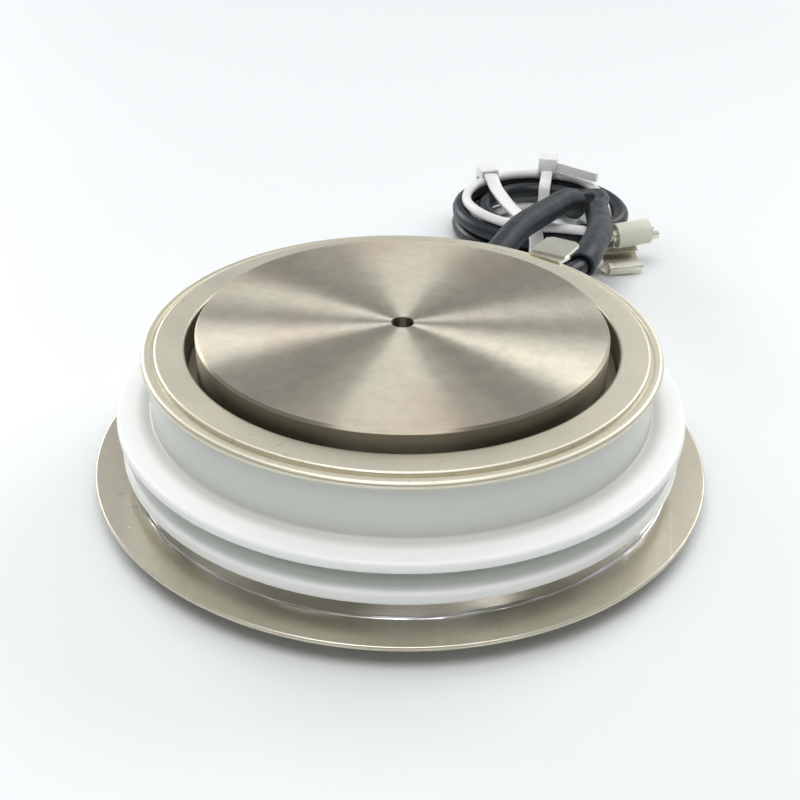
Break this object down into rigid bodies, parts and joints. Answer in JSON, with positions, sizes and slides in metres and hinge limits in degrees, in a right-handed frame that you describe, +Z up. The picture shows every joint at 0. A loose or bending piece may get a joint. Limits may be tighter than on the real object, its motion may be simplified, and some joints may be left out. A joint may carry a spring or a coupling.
{
  "type": "gate turn-off thyristor",
  "caption": "Press-pack gate turn-off thyristor: ribbed white ceramic housing between flat metal contact faces, with a thin flange, a cathode tab and coiled gate and cathode leads.",
  "frame": {"origin": "centre of the lower (anode) contact face, on the surface that the device stands on", "axes": "+Z up along the housing's axis from the anode face to the cathode face; +Y away from the picture's viewer, towards the side that the leads leave; +X to the viewer's right"},
  "size_m": [0.1054, 0.1637, 0.026],
  "materials": {
    "plated_copper": "turned copper with warm nickel plating",
    "white_alumina": "fired alumina, slightly glossy",
    "plated_sheet": "drawn sheet with satin nickel plating",
    "flange_sheet": "thin drawn sheet with nickel plating, lightly scratched",
    "silicon": "polished grey silicon",
    "molybdenum": "lapped",
    "silicone_rubber": "moulded silicone",
    "gold_plate": "gold plated",
    "fluoroplastic": "white fluoroplastic",
    "spring_steel": "bright",
    "silver_wire": "silver plated",
    "tinned_brass": "stamped sheet, tinned",
    "black_sleeve": "shrunk tubing, satin",
    "white_insulation": "extruded insulation",
    "black_insulation": "extruded insulation",
    "clear_sleeve": "clear tubing, slightly yellow",
    "white_nylon": "natural nylon"
  },
  "bodies": {
    "root": {"cathode_pole_piece": "plated_copper", "anode_pole_piece": "plated_copper", "ceramic_housing": "white_alumina", "cathode_diaphragm": "plated_sheet", "cathode_rim_ring": "plated_sheet", "anode_collar_flange": "flange_sheet", "anode_diaphragm": "flange_sheet", "silicon_wafer": "silicon", "cathode_molybdenum_disc": "molybdenum", "anode_molybdenum_disc": "molybdenum", "wafer_centring_ring": "silicone_rubber", "gate_contact": "gold_plate", "gate_contact_cup": "fluoroplastic", "gate_disc_springs": "spring_steel", "gate_wire": "silver_wire", "gate_tube": "spring_steel", "cathode_tab": "tinned_brass", "gate_sleeve": "black_sleeve", "cathode_sleeve": "black_sleeve", "gate_lead": "white_insulation", "cathode_lead": "black_insulation", "lead_coil": "black_insulation", "gate_terminal": "tinned_brass", "gate_terminal_sleeve": "clear_sleeve", "cathode_terminal": "tinned_brass", "wide_tie": "white_nylon", "narrow_tie": "white_nylon"}
  },
  "joints": []
}
